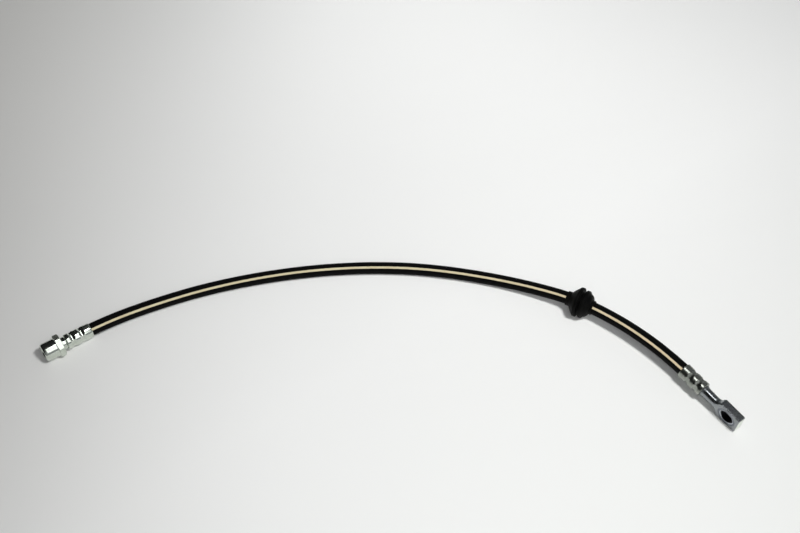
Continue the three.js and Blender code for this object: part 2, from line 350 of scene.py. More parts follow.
@dataclass(frozen=True)
class MouldedRubber:
    """Matte black moulded rubber with a soft bloom."""

    name: str
    colour: Shade
    bloom: Shade
    bloom_share: float
    smoothest: float
    roughest: float
    specular: float
    cloud_scale: float
    grain_scale: float
    grain_bump: Pair
    cloud_bump: Pair = (0.2, 0.0002)

    def start(self, shader: Shader) -> tuple[Socket, Socket, Socket, Socket]:
        """Starts the finish with what is the same for plain and striped rubber.

        Args:
            shader: the material's shader.

        Returns:
            The clouds, the grain, the rubber's colour and its roughness.
        """
        body = shader.coordinates("Object")
        clouds = shader.noise(body, self.cloud_scale, 5.0)
        grain = shader.noise(body, self.grain_scale, 3.0)
        rubber = shader.mix(shader.spread(clouds, 0.0, self.bloom_share), self.colour, self.bloom)
        shader.put(shader.principled, Specular_IOR_Level=self.specular)
        return clouds, grain, rubber, shader.spread(clouds, self.smoothest, self.roughest)

    def material(self) -> bpy.types.Material:
        """Builds the finish.

        Returns:
            The material.
        """
        shader = Shader(bpy.data.materials.new(self.name))
        clouds, grain, rubber, rough = self.start(shader)
        shader.bump((clouds, *self.cloud_bump), (grain, *self.grain_bump))
        return shader.finish(rubber, rough)


@dataclass(frozen=True)
class StripedRubber(MouldedRubber):
    """The hose's cover: satin black rubber with one painted stripe along it."""

    stripe: Shade = (0.68, 0.62, 0.42)
    stripe_far: Shade = (0.72, 0.585, 0.40)
    stripe_dark: Shade = (0.60, 0.52, 0.34)
    stripe_half: float = 0.029
    tone_change: Pair = (300.0, 540.0)
    paint_rougher: float = 0.1
    rib_scale: float = 1.1
    rib_bend: float = 0.6
    wander_scale: float = 0.35
    wander: float = 0.0025
    ragged: float = 0.001
    edge_soft: float = 0.003
    paint_bump: Pair = (0.4, 0.00008)
    rib_bump: Pair = (0.12, 0.00005)

    def material(self) -> bpy.types.Material:
        """Builds the finish, on the cover's own coordinates of millimetres and turns.

        Returns:
            The material.
        """
        shader = Shader(bpy.data.materials.new(self.name))
        clouds, grain, rubber, rough = self.start(shader)
        cover = shader.coordinates("UV")
        ribs = shader.add("ShaderNodeTexWave", cover, bands_direction="X")
        shader.put(ribs, Scale=self.rib_scale, Distortion=self.rib_bend)
        split = shader.split(cover)
        wander = shader.spread(shader.noise(cover, self.wander_scale, 2.0), -self.wander, self.wander)
        away = shader.math("ABSOLUTE", shader.math("ADD", split["Y"], wander), 0.0)
        edge = shader.math("ADD", away, shader.spread(grain, -self.ragged, self.ragged))
        painted = shader.spread(
            edge, 1.0, 0.0, self.stripe_half - self.edge_soft, self.stripe_half + self.edge_soft)
        tone = shader.mix(
            shader.spread(split["X"], 0.0, 1.0, *self.tone_change), self.stripe, self.stripe_far)
        paint = shader.mix(shader.spread(clouds, 0.0, 1.0), tone, self.stripe_dark)
        rougher = shader.math("MULTIPLY", painted, self.paint_rougher)
        shader.bump(
            (painted, *self.paint_bump), (ribs.outputs["Fac"], *self.rib_bump),
            (grain, *self.grain_bump))
        return shader.finish(shader.mix(painted, rubber, paint), shader.math("ADD", rough, rougher))


ZINC = PlatedSteel(
    "bright_zinc_plating", (0.73, 0.77, 0.71), (0.65, 0.71, 0.62), 0.10, 0.17)
# The same zinc plating painted darker for the ferrule at the banjo end: painted shade for the shadowed
# table that it reflects.
ZINC_PAINTED_DARKER = PlatedSteel(
    "zinc_plating_painted_darker", (0.34, 0.35, 0.32), (0.27, 0.29, 0.26), 0.24, 0.33)
GREY_STEEL = PlatedSteel(
    "grey_green_plating", (0.29, 0.30, 0.32), (0.23, 0.25, 0.25), 0.22, 0.32,
    grain_depth=0.00001)
GROMMET_RUBBER = MouldedRubber(
    "moulded_grommet_rubber", (0.002, 0.002, 0.002), (0.006, 0.006, 0.005), 0.6,
    0.49, 0.63, 0.07, 120.0, 2600.0, (0.35, 0.00004))
HOSE_RUBBER = StripedRubber(
    "striped_hose_rubber", (0.002, 0.002, 0.002), (0.004, 0.004, 0.004), 0.5,
    0.60, 0.72, 0.06, 90.0, 2200.0, (0.3, 0.00004))


# Mesh calls that every piece shares


@dataclass
class Piece:
    """One piece while its mesh is made in its own frame, in millimetres, X along its axis."""

    name: str
    mesh: BMesh = field(default_factory=bmesh.new)

    def turn(self, profile: Profile, steps: int, closed: bool) -> None:
        """Spins a profile round the X axis.

        Args:
            profile: points as (along, radius) in millimetres.
            steps: how many steps a full turn has.
            closed: whether the last point joins the first, as in a ring.
        """
        verts = [self.mesh.verts.new((along, 0.0, radius)) for along, radius in profile]
        pairs = list(zip(verts, verts[1:]))
        if closed:
            pairs.append((verts[-1], verts[0]))
        edges = [self.mesh.edges.new(pair) for pair in pairs]
        bmesh.ops.spin(
            self.mesh, geom=[*verts, *edges], cent=(0, 0, 0), axis=(1, 0, 0),
            angle=FULL_TURN, steps=steps, use_merge=True)
        self.merge()

    def merge(self) -> None:
        """Merges points that lie on each other."""
        bmesh.ops.remove_doubles(self.mesh, verts=self.mesh.verts, dist=MERGE_MM)

    def face_outwards(self) -> None:
        """Points every face outwards."""
        bmesh.ops.recalc_face_normals(self.mesh, faces=self.mesh.faces)

    def thing(self) -> bpy.types.Object:
        """Makes an object of the mesh as it stands and lets the working mesh go."""
        data = bpy.data.meshes.new(self.name)
        self.mesh.to_mesh(data)
        self.mesh.free()
        thing = bpy.data.objects.new(self.name, data)
        bpy.context.scene.collection.objects.link(thing)
        return thing

    def loft(self, sections: list[list[Vector]]) -> None:
        """Extrudes a ring of points through a row of sections and closes both ends.

        Args:
            sections: rings with the same number of points, in order round the axis.
        """
        count = len(sections[0])
        ring = bmesh.ops.create_circle(self.mesh, segments=count, radius=1.0)["verts"]
        for vert, place in zip(ring, sections[0]):
            vert.co = place
        edges = list({edge for vert in ring for edge in vert.link_edges})
        first = edges
        for section in sections[1:]:
            made = bmesh.ops.extrude_edge_only(self.mesh, edges=edges)["geom"]
            grown = [item for item in made if isinstance(item, bmesh.types.BMVert)]
            edges = [
                item for item in made
                if isinstance(item, bmesh.types.BMEdge) and all(v in grown for v in item.verts)]
            ring = [
                next(
                    edge.other_vert(vert) for edge in vert.link_edges
                    if edge.other_vert(vert) in grown)
                for vert in ring]
            for vert, place in zip(ring, section):
                vert.co = place
        bmesh.ops.holes_fill(self.mesh, edges=first + edges, sides=count)

    def move(self, place: Place) -> None:
        """Moves every point.

        Args:
            place: gives a point's new place from its old one.
        """
        for vert in self.mesh.verts:
            vert.co = place(vert.co)

    def map_surface(self) -> None:
        """Gives each face UVs of millimetres along the X axis and turns round it."""
        layer = self.mesh.loops.layers.uv.new("UVMap")
        for face in self.mesh.faces:
            middle = math.atan2(
                sum(loop.vert.co.y for loop in face.loops),
                sum(loop.vert.co.z for loop in face.loops)) / FULL_TURN
            for loop in face.loops:
                turn = math.atan2(loop.vert.co.y, loop.vert.co.z) / FULL_TURN
                loop[layer].uv = (loop.vert.co.x, turn - round(turn - middle))

    def finish(
        self, place: Place, material: bpy.types.Material, slot: Slot, *nodes: str,
    ) -> bpy.types.Object:
        """Makes the object, in the row frame and in metres, and rides it on the root.

        Args:
            place: gives a point's place in the row frame, in millimetres.
            material: its finish.
            slot: the record's slot of that finish; not used.
            *nodes: the CAD nodes that it replaces.

        Returns:
            The object.
        """
        self.map_surface()
        self.move(lambda co: place(co) * MM)
        self.face_outwards()
        for face in self.mesh.faces:
            face.smooth = True
        for edge in self.mesh.edges:
            edge.smooth = edge.calc_face_angle(0.0) < math.radians(SHARP_DEGREES)
        piece = self.thing()
        piece.data.materials.append(material)
        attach(piece, "root")
        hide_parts(*nodes)
        log.info("%s: %d faces, replaces %s", self.name, len(piece.data.polygons), ", ".join(nodes))
        return piece


def rounded(centre: Pair, size: float, start: float, end: float, count: int) -> Profile:
    """Gives points of an arc.

    Args:
        centre: its centre as (along, radius).
        size: its radius.
        start: its first angle in degrees, 0 along and 90 outwards.
        end: its last angle in degrees.
        count: how many steps it has.

    Returns:
        The points as (along, radius).
    """
    angles = [math.radians(start + (end - start) * i / count) for i in range(count + 1)]
    return [(centre[0] + size * math.cos(a), centre[1] + size * math.sin(a)) for a in angles]


# The way of the hose and the frames of its ends


@dataclass(frozen=True)
class EndFrame:
    """An end's own frame: its origin at the ferrule's mouth, its X axis out of the hose."""

    mouth: Point
    heading: float
    droop: float
    roll: float

    @property
    def matrix(self) -> Matrix:
        """The frame in the row frame, in millimetres."""
        heading, droop, roll = (math.radians(a) for a in (self.heading, self.droop, self.roll))
        turn = Matrix.Rotation(heading, 4, "Z") @ Matrix.Rotation(droop, 4, "Y")
        return Matrix.Translation(self.mouth) @ turn @ Matrix.Rotation(roll, 4, "X")

    def place(self, co: Vector) -> Vector:
        """Gives a point of this frame in the row frame."""
        return self.matrix @ co


FEMALE_END = EndFrame((-161.4, 186.8, 8.13), 180.8, -3.0, -5.6)
BANJO_END = EndFrame((196.2, -136.5, 13.12), -91.6, 3.5, 7.4)
HOSE_ROUTE = (
    (-161.4, 186.8, 8.13), (-138.8, 185.7, 6.9), (-116.3, 182.4, 6.1), (-93.9, 177.6, 5.6),
    (-71.7, 171.6, 5.4), (-49.9, 164.1, 5.4), (-28.4, 155.5, 5.4), (-7.3, 145.8, 5.4),
    (13.2, 135.2, 5.4), (33.1, 123.7, 5.4), (52.4, 111.2, 5.4), (70.9, 97.8, 5.4),
    (88.7, 83.4, 5.4), (105.5, 67.9, 5.4), (121.3, 51.4, 5.5), (136.2, 33.7, 6.0),
    (149.8, 15.0, 7.3), (161.9, -4.6, 9.4), (172.5, -25.1, 11.9), (181.2, -46.3, 13.5),
    (188.0, -68.1, 13.9), (192.8, -90.5, 13.9), (195.5, -113.3, 13.7), (196.2, -136.5, 13.12),
)


@dataclass
class HoseLine:
    """The middle line of the hose, from inside one ferrule to inside the other."""

    inside: float = 19.9
    step: float = 0.5
    fine_steps: int = 40

    def __post_init__(self) -> None:
        """Walks the smooth curve through the route in even steps."""
        ends = [
            [end.place(Vector((depth, 0, 0))) for depth in (self.inside, self.inside / 2)]
            for end in (FEMALE_END, BANJO_END)]
        through = [*ends[0], *[Vector(p) for p in HOSE_ROUTE], *reversed(ends[1])]
        knots = np.array(through)
        knots = np.vstack([2 * knots[0] - knots[1], knots, 2 * knots[-1] - knots[-2]])
        fine = [knots[1]]
        for a, b, c, d in zip(knots, knots[1:], knots[2:], knots[3:]):
            gaps = [math.sqrt(math.dist(p, q)) for p, q in ((a, b), (b, c), (c, d))]
            leave, arrive = (
                ((q - p) / back - (r - p) / (back + on) + (r - q) / on) * gaps[1]
                for p, q, r, back, on in ((a, b, c, *gaps[:2]), (b, c, d, *gaps[1:])))
            for t in np.linspace(0, 1, self.fine_steps + 1)[1:]:
                fine.append(
                    (2 * t ** 3 - 3 * t ** 2 + 1) * b + (t ** 3 - 2 * t ** 2 + t) * leave
                    + (3 * t ** 2 - 2 * t ** 3) * c + (t ** 3 - t ** 2) * arrive)
        points = np.array(fine)
        walked = np.concatenate([[0], np.cumsum(np.linalg.norm(np.diff(points, axis=0), axis=1))])
        self.length = float(walked[-1])
        count = round(self.length / self.step)
        self.at = np.linspace(0, self.length, count + 1)
        self.points = np.stack([np.interp(self.at, walked, points[:, i]) for i in range(3)], axis=1)
        way = np.gradient(self.points, axis=0)
        self.ways = way / np.linalg.norm(way, axis=1, keepdims=True)

    def place(self, co: Vector) -> Vector:
        """Gives a point of the straight hose on the laid one.

        Args:
            co: X along the hose from its start, Y to the side that faces the camera, Z up.

        Returns:
            The point in the row frame.
        """
        here = [float(np.interp(co.x, self.at, self.points[:, i])) for i in range(3)]
        way = Vector([float(np.interp(co.x, self.at, self.ways[:, i])) for i in range(3)]).normalized()
        side = way.cross(Vector((0, 0, 1))).normalized()
        return Vector(here) + side * co.y + side.cross(way) * co.z


HOSE_LINE = HoseLine()


# The sub-assemblies


@dataclass(frozen=True)
class Crimp:
    """The crimp that both ferrules get: two bands pressed by eight flat jaws."""

    centres: tuple[float, ...] = (8.4, 16.4)
    width: float = 5.6
    depth: float = 1.1
    jaws: int = 8

    def pressed(self, along: float) -> float:
        """Gives how deep the jaws press at a distance from the ferrule's mouth."""
        across = [abs(along - centre) * 2 / self.width for centre in self.centres]
        return sum(self.depth * (1 + math.cos(math.pi * a)) / 2 for a in across if a < 1)

    def flat_radius(self, along: float, angle: float, radius: float) -> float:
        """Gives the radius that flat jaws leave.

        Args:
            along: distance from the ferrule's mouth.
            angle: angle round the axis.
            radius: the ferrule's radius before crimping.

        Returns:
            The radius after crimping.
        """
        half = math.pi / self.jaws
        off = (angle % (2 * half)) - half
        corner = radius / math.cos(half) - self.pressed(along)
        return min(radius, corner * math.cos(half) / math.cos(off))


@dataclass
class Ferrule:
    """A crimped steel ferrule over the end of the hose."""

    end: EndFitting
    frame: EndFrame
    mouth_flare: float
    plating: PlatedSteel
    crimp: Crimp = Crimp()
    length: float = 21.8
    radius: float = 6.35
    mouth_hole: float = 5.3
    mouth_round: float = 0.42
    wall: float = 0.8
    end_wall: float = 1.6
    end_chamfer: float = 0.9
    neck_hole: float = 3.25
    neck_edge: float = 0.5
    flare_at: tuple[float, ...] = (1.6, 3.0, 4.3)
    pocket_start: float = 1.4
    lip: Pair = (0.25, 0.9)
    margin: float = 0.2
    shell_step: float = 0.25
    pocket_step: float = 0.4
    steps: int = 128

    def profile(self) -> Profile:
        """Gives the closed section of the ferrule before its jaw marks.

        Returns:
            The points, out over the shell and back along its inside.
        """
        mouth = self.radius + self.mouth_flare
        inner = self.radius - self.wall
        outer = rounded((self.mouth_round, mouth - self.mouth_round), self.mouth_round, 180, 90, 5)
        start = self.crimp.centres[0] - self.crimp.width / 2
        stop = self.length - self.end_chamfer
        outer += [(a, mouth + (self.radius - mouth) * (a / start)) for a in self.flare_at]
        outer += [(float(a), self.radius) for a in np.arange(start, stop - self.margin, self.shell_step)]
        outer += rounded((stop, self.radius - self.end_chamfer), self.end_chamfer, 90, 20, 5)
        outer += [(self.length, self.neck_hole + self.neck_edge), (self.length, self.neck_hole)]
        pocket = self.length - self.end_wall
        inside = np.arange(pocket, self.pocket_start, -self.pocket_step)
        return [
            *outer, (pocket, self.neck_hole), *[(float(a), inner) for a in inside],
            (self.lip[1], self.mouth_hole), (self.lip[0], self.mouth_hole)]

    def build(self) -> bpy.types.Object:
        """Builds and dresses the ferrule.

        Returns:
            The piece.
        """
        piece = Piece(f"{self.end.value}_ferrule_shell")
        piece.turn(self.profile(), self.steps, closed=True)

        def press(co: Vector) -> Vector:
            """Presses a point in as the crimping jaws do."""
            radius = math.hypot(co.y, co.z)
            if radius < self.mouth_hole - self.margin:
                return co
            angle = math.atan2(co.y, co.z)
            if radius > self.radius - self.wall / 2 or co.x > self.length - self.end_chamfer:
                pressed = self.crimp.flat_radius(co.x, angle, radius)
            else:
                pressed = radius - self.crimp.pressed(co.x)
            return Vector((co.x, co.y * pressed / radius, co.z * pressed / radius))

        piece.move(press)
        return piece.finish(
            self.frame.place, self.plating.material(), Slot.ZINC, f"{self.end.value}_ferrule")


@dataclass(frozen=True)
class Stem:
    """The stem that both fittings have in the hose, up to where the ferrule ends."""

    tip: float = 2.8
    radius: float = 1.5
    chamfer: float = 0.3
    passage: float = 0.8
    neck: float = 3.2
    neck_start: float = 20.2
    end: float = 22.1

    def profile(self) -> Profile:
        """Gives its outside, from the tip to the fitting's body."""
        return [
            (self.tip, self.radius - self.chamfer), (self.tip + self.chamfer, self.radius),
            (self.neck_start, self.radius), (self.neck_start, self.neck), (self.end, self.neck)]


@dataclass
class FemaleFitting:
    """The turned fitting with the hexagon collar and the threaded port."""

    frame: EndFrame
    stem: Stem = Stem()
    shoulder_radius: float = 5.1
    hex_start: float = 25.1
    hex_length: float = 4.7
    hex_flat: float = 8.5
    hex_height: float = 9.51
    hex_under: float = 0.06
    hex_rings: int = 6
    hex_fillet: float = 0.4
    nose_radius: float = 7.65
    nose_length: float = 11.1
    nose_lead: float = 2.6
    nose_drop: float = 1.0
    nose_arc_steps: int = 8
    nose_fillet: float = 0.3
    port_radius: float = 4.5
    port_depth: float = 9.6
    port_chamfer: float = 0.6
    thread_pitch: float = 1.0
    thread_depth: float = 0.45
    thread_root: Pair = (0.42, 0.56)
    thread_end: float = 0.6
    seat_height: float = 1.6
    seat_top: float = 1.5
    edge: float = 0.25
    steps: int = 120

    @property
    def hex_end(self) -> float:
        """Where the hexagon ends and the nose starts."""
        return self.hex_start + self.hex_length

    def thread(self, tip: float) -> Profile:
        """Gives the thread's grooves in the port, from its mouth inwards."""
        points = []
        along = tip - self.port_chamfer - self.thread_pitch / 2
        floor = tip - self.port_depth + self.seat_height + self.thread_end
        while along - self.thread_pitch > floor:
            points.append((along, self.port_radius))
            points += [
                (along - share * self.thread_pitch, self.port_radius + self.thread_depth)
                for share in self.thread_root]
            along -= self.thread_pitch
        return points

    def nose_front(self, tip: float) -> Profile:
        """Gives the nose's rounded lead, a quarter of an ellipse down to the front face."""
        turns = [math.pi / 2 * i / self.nose_arc_steps for i in range(self.nose_arc_steps + 1)]
        start = tip - self.nose_lead
        return [
            (start + self.nose_lead * math.sin(a), self.nose_radius - self.nose_drop * (1 - math.cos(a)))
            for a in turns]

    def profile(self) -> Profile:
        """Gives the closed section of the fitting, with the hexagon as a barrel.

        Returns:
            The points, out over the body and back through the port and the passage.
        """
        tip = self.hex_end + self.nose_length
        slope = (self.hex_height - self.hex_flat) * math.tan(math.pi / 6)
        low = self.hex_flat - self.hex_under
        rise = [(slope * r, low + (self.hex_height - self.hex_flat + self.hex_under) * r)
                for r in (i / self.hex_rings for i in range(self.hex_rings + 1))]
        floor = tip - self.port_depth
        stem = self.stem
        shoulder, port = self.shoulder_radius, self.port_radius
        return [
            (stem.tip, stem.passage), *stem.profile(),
            (stem.end, shoulder - self.edge), (stem.end + self.edge, shoulder),
            (self.hex_start - self.hex_fillet, shoulder), (self.hex_start, shoulder + self.hex_fillet),
            *[(self.hex_start + a, r) for a, r in rise],
            *[(self.hex_end - a, r) for a, r in reversed(rise)],
            (self.hex_end, self.nose_radius + self.nose_fillet),
            (self.hex_end + self.nose_fillet, self.nose_radius),
            *self.nose_front(tip),
            (tip, port + self.port_chamfer), (tip - self.port_chamfer, port),
            *self.thread(tip),
            (floor + self.seat_height + self.thread_end, port),
            (floor, port), (floor, port - self.port_chamfer),
            (floor + self.seat_height, self.seat_top), (floor + self.seat_height, stem.passage),
        ]

    def build(self) -> bpy.types.Object:
        """Builds and dresses the fitting.

        Returns:
            The piece.
        """
        piece = Piece("female_end_fitting_body")
        piece.turn(self.profile(), self.steps, closed=True)
        third = math.pi / 3

        def cut_flats(co: Vector) -> Vector:
            """Brings a point of the barrel in to the hexagon's flats."""
            radius = math.hypot(co.y, co.z)
            if radius < self.hex_flat or not self.hex_start <= co.x <= self.hex_end:
                return co
            off = (math.atan2(co.y, co.z) % third) - third / 2
            flat = self.hex_flat / math.cos(off)
            share = min(radius, flat) / radius
            return Vector((co.x, co.y * share, co.z * share))

        piece.move(cut_flats)
        return piece.finish(self.frame.place, ZINC.material(), Slot.ZINC, "female_end_fitting")


@dataclass
class BanjoFitting:
    """The forged fitting whose flat eye takes the banjo bolt."""

    frame: EndFrame
    stem: Stem = Stem()
    shoulder_radius: float = 4.9
    shoulder_length: float = 2.2
    neck_radius: float = 4.2
    waist_radius: float = 3.95
    block_start: float = 38.0
    flare: float = 4.2
    block_length: float = 20.4
    block_half: float = 9.3
    block_thick: float = 3.3
    corner: float = 1.6
    edge: float = 0.55
    rear_round: float = 3.2
    rear_slope: float = 0.9
    hole_at: float = 47.8
    hole_radius: float = 5.1
    hole_chamfer: float = 1.1
    spot_radius: float = 8.2
    spot_depth: float = 0.12
    spot_over: float = 0.1
    spot_rise: float = 0.02
    cut_over: float = 2.0
    corner_ease: float = 1.15
    end_shrink: float = 0.9
    # Where the pale painted highlight ring and the bore's black painted shade end, beyond the hole's
    # radius.
    rim_ring: float = 1.45
    hole_ring: float = 0.75
    sides: int = 16

    @property
    def flare_start(self) -> float:
        """Where the neck starts to widen into the eye."""
        return self.block_start - self.flare

    @property
    def end(self) -> float:
        """Where the eye ends."""
        return self.block_start + self.block_length

    @property
    def neck_start(self) -> float:
        """Where the rounded shoulder ends and the neck starts."""
        return self.stem.end + self.shoulder_length

    def half_width(self, along: float) -> float:
        """Gives the eye's half width at a distance from the ferrule's mouth."""
        start, half, waist = self.block_start, self.block_half, self.waist_radius
        middle = (waist + half) / 2
        points = ((self.flare_start, waist), (start - self.rear_slope, waist), (start, middle))
        if along > start:
            points = ((start, middle), (start + self.rear_slope, half), (start + self.rear_round, half))
        samples = [
            [(1 - t) ** 2 * a + 2 * t * (1 - t) * b + t * t * c for a, b, c in zip(*points)]
            for t in np.linspace(0, 1, 24)]
        width = float(np.interp(along, *zip(*samples)))
        return width - self.drop(along, self.corner)

    def drop(self, along: float, size: float) -> float:
        """Gives how far a rounded corner at the eye's end has come in at this distance."""
        into = min(max(along - (self.end - size), 0.0), size)
        return size - math.sqrt(max(size * size - into * into, 0.0))

    def section(self, along: float) -> list[Vector]:
        """Gives one ring round the fitting.

        Args:
            along: distance from the ferrule's mouth.

        Returns:
            The ring's points, Y through the eye's thickness and Z across its width.
        """
        merge = min(max((along - self.flare_start) / (self.flare + self.rear_round), 0.0), 1.0)
        ease = merge * merge * (3 - 2 * merge)
        wide = self.half_width(along)
        thick = self.waist_radius + (self.block_thick - self.waist_radius) * ease
        thick -= self.drop(along, self.edge)
        if along < self.flare_start:
            share = max((along - self.neck_start) / (self.flare_start - self.neck_start), 0.0)
            wide = thick = self.neck_radius + (self.waist_radius - self.neck_radius) * share
        if along < self.neck_start:
            rise = math.sin((along - self.stem.end) / self.shoulder_length * math.pi / 2)
            wide = thick = self.shoulder_radius + (self.neck_radius - self.shoulder_radius) * rise
        curve = thick + (self.edge - thick) * min(ease * self.corner_ease, 1.0)
        curve = min(curve, wide, thick)
        ring = []
        for quarter, (y, z) in enumerate(((1, 1), (-1, 1), (-1, -1), (1, -1))):
            for i in range(self.sides):
                angle = math.pi / 2 * (quarter + (i + 0.5) / self.sides)
                across = y * (thick - curve) + curve * math.cos(angle)
                ring.append(Vector((along, across, z * (wide - curve) + curve * math.sin(angle))))
        return ring

    def stations(self) -> list[float]:
        """Gives where the rings stand, closer together where the form turns."""
        flare = np.linspace(self.flare_start, self.block_start + self.rear_round, 26)
        return [
            *np.linspace(self.stem.end, self.neck_start, 6),
            *np.linspace(self.neck_start + 1, flare[0] - 1, 8),
            *flare,
            *np.linspace(flare[-1] + 1, self.end - self.corner - 0.5, 10),
            *[self.end - self.corner * (1 - math.sin(a)) for a in np.linspace(0, 1.45, 9)],
            self.end,
        ]

    def hole_profile(self) -> Profile:
        """Gives the outline of what is cut for the bolt: the hole, its chamfers and spot faces."""
        deep = self.block_thick - self.spot_depth
        beyond = self.block_thick + self.cut_over
        spot = self.spot_radius
        half = [
            (deep - self.hole_chamfer, self.hole_radius),
            (deep, self.hole_radius + self.hole_chamfer),
            (deep, spot),
            (self.block_thick + self.spot_rise, spot + self.spot_over),
            (beyond, spot + self.spot_over)]
        return [(-beyond, 0.0), *[(-a, r) for a, r in reversed(half)], *half, (beyond, 0.0)]

    def loose(self, piece: Piece) -> bpy.types.Object:
        """Makes a helper object of a piece's mesh, in the row frame."""
        piece.face_outwards()
        piece.move(lambda co: self.frame.place(co) * MM)
        return piece.thing()

    def cutters(self) -> list[bpy.types.Object]:
        """Makes the bodies of the bolt's hole and of the fluid's passage from the stem's tip."""
        hole = Piece("bolt_hole_cutter")
        hole.turn(self.hole_profile(), 96, closed=False)
        turn = Matrix.Translation((self.hole_at, 0, 0)) @ Matrix.Rotation(math.pi / 2, 4, "Z")
        hole.move(lambda co: turn @ co)
        passage = Piece("passage_cutter")
        start, radius = self.stem.tip - 1, self.stem.passage
        passage.turn(
            [(start, 0.0), (start, radius), (self.hole_at, radius), (self.hole_at, 0.0)], 24,
            closed=False)
        return [self.loose(hole), self.loose(passage)]

    def build(self) -> bpy.types.Object:
        """Builds and dresses the fitting.

        Returns:
            The piece.
        """
        stem = [self.circle(along, radius) for along, radius in self.stem.profile()]
        rings = [self.section(float(a)) for a in self.stations()]
        rings.append([Vector((p.x, p.y * self.end_shrink, p.z * self.end_shrink)) for p in rings[-1]])
        body = Piece("banjo_body")
        body.loft([*stem, *rings])
        solid = self.loose(body)
        cutters = self.cutters()
        for cutter in cutters:
            cut = solid.modifiers.new(cutter.name, "BOOLEAN")
            cut.operation = "DIFFERENCE"
            cut.solver = "EXACT"
            cut.object = cutter
        piece = Piece("banjo_fitting_body")
        piece.mesh.from_object(solid, bpy.context.evaluated_depsgraph_get())
        for helper in (solid, *cutters):
            bpy.data.objects.remove(helper)
        back = self.frame.matrix.inverted()
        piece.move(lambda co: back @ (co / MM))
        piece.merge()
        # The grey plating with painted shade and painted highlight round the bolt's hole.
        plating = replace(GREY_STEEL, eye=self.painted_eye_light())
        return piece.finish(
            self.frame.place, plating.material(), Slot.GREY_STEEL, "banjo_fitting")

    def painted_eye_light(self) -> EyePaintedLight:
        """Gives the painted shade and painted highlight of the bolt's hole, its chamfers, the spot faces
        and the end face.
        """
        return EyePaintedLight(
            centre=tuple(self.frame.place(Vector((self.hole_at, 0, 0))) * MM),
            turn=tuple(self.frame.matrix.to_euler()),
            radii=(
                self.spot_radius, self.hole_radius + self.rim_ring,
                self.hole_radius + self.hole_ring),
            end_at=self.end - self.hole_at)

    def circle(self, along: float, radius: float) -> list[Vector]:
        """Gives a round ring with as many points as the fitting's sections."""
        count = 4 * self.sides
        angles = [FULL_TURN * (i + 0.5) / count for i in range(count)]
        return [Vector((along, radius * math.cos(a), radius * math.sin(a))) for a in angles]


@dataclass
class Hose:
    """The striped rubber hose, narrowed where the ferrules squeeze it."""

    crimp: Crimp = Crimp()
    radius: float = 5.25
    bore: float = 1.6
    inside: float = HOSE_LINE.inside
    sides: int = 64
    free_step: float = 2.5
    crimp_step: float = 0.7
    squeeze_clearance: float = 0.15
    shell_inner: float = 5.55
    twist_at: tuple[float, ...] = (0.0, 110.0, 200.0, 400.0, 569.0)
    twist_degrees: tuple[float, ...] = (44.0, 41.0, 34.0, 34.0, 41.0)

    def outer(self, along: float) -> float:
        """Gives the outside radius at a distance from the hose's start."""
        depth = self.inside - min(along, HOSE_LINE.length - along)
        if depth < 0:
            return self.radius
        return min(self.radius, self.shell_inner - self.squeeze_clearance - self.crimp.pressed(depth))

    def stations(self) -> list[float]:
        """Gives where the rings stand, closer together under the ferrules."""
        whole, under = HOSE_LINE.length, self.inside + 1
        squeezed = round(under / self.crimp_step)
        free = round((whole - 2 * under) / self.free_step)
        return [
            *np.linspace(0, under, squeezed, endpoint=False),
            *np.linspace(under, whole - under, free, endpoint=False),
            *np.linspace(whole - under, whole, squeezed + 1),
        ]

    def lay(self, co: Vector) -> Vector:
        """Gives a point of the straight hose on the laid one, which is a little twisted."""
        twist = float(np.interp(co.x, self.twist_at, self.twist_degrees))
        return HOSE_LINE.place(Matrix.Rotation(math.radians(-twist), 3, "X") @ co)

    def build(self) -> bpy.types.Object:
        """Builds and dresses the hose.

        Returns:
            The piece.
        """
        piece = Piece("hose_cover_tube")
        places = [float(a) for a in self.stations()]
        profile = [(a, self.outer(a)) for a in places]
        profile += [(a, self.bore) for a in reversed(places)]
        piece.turn(profile, self.sides, closed=True)
        return piece.finish(
            self.lay, HOSE_RUBBER.material(), Slot.RUBBER,
            "hose_cover", "outer_braid", "inner_braid", "inner_tube")


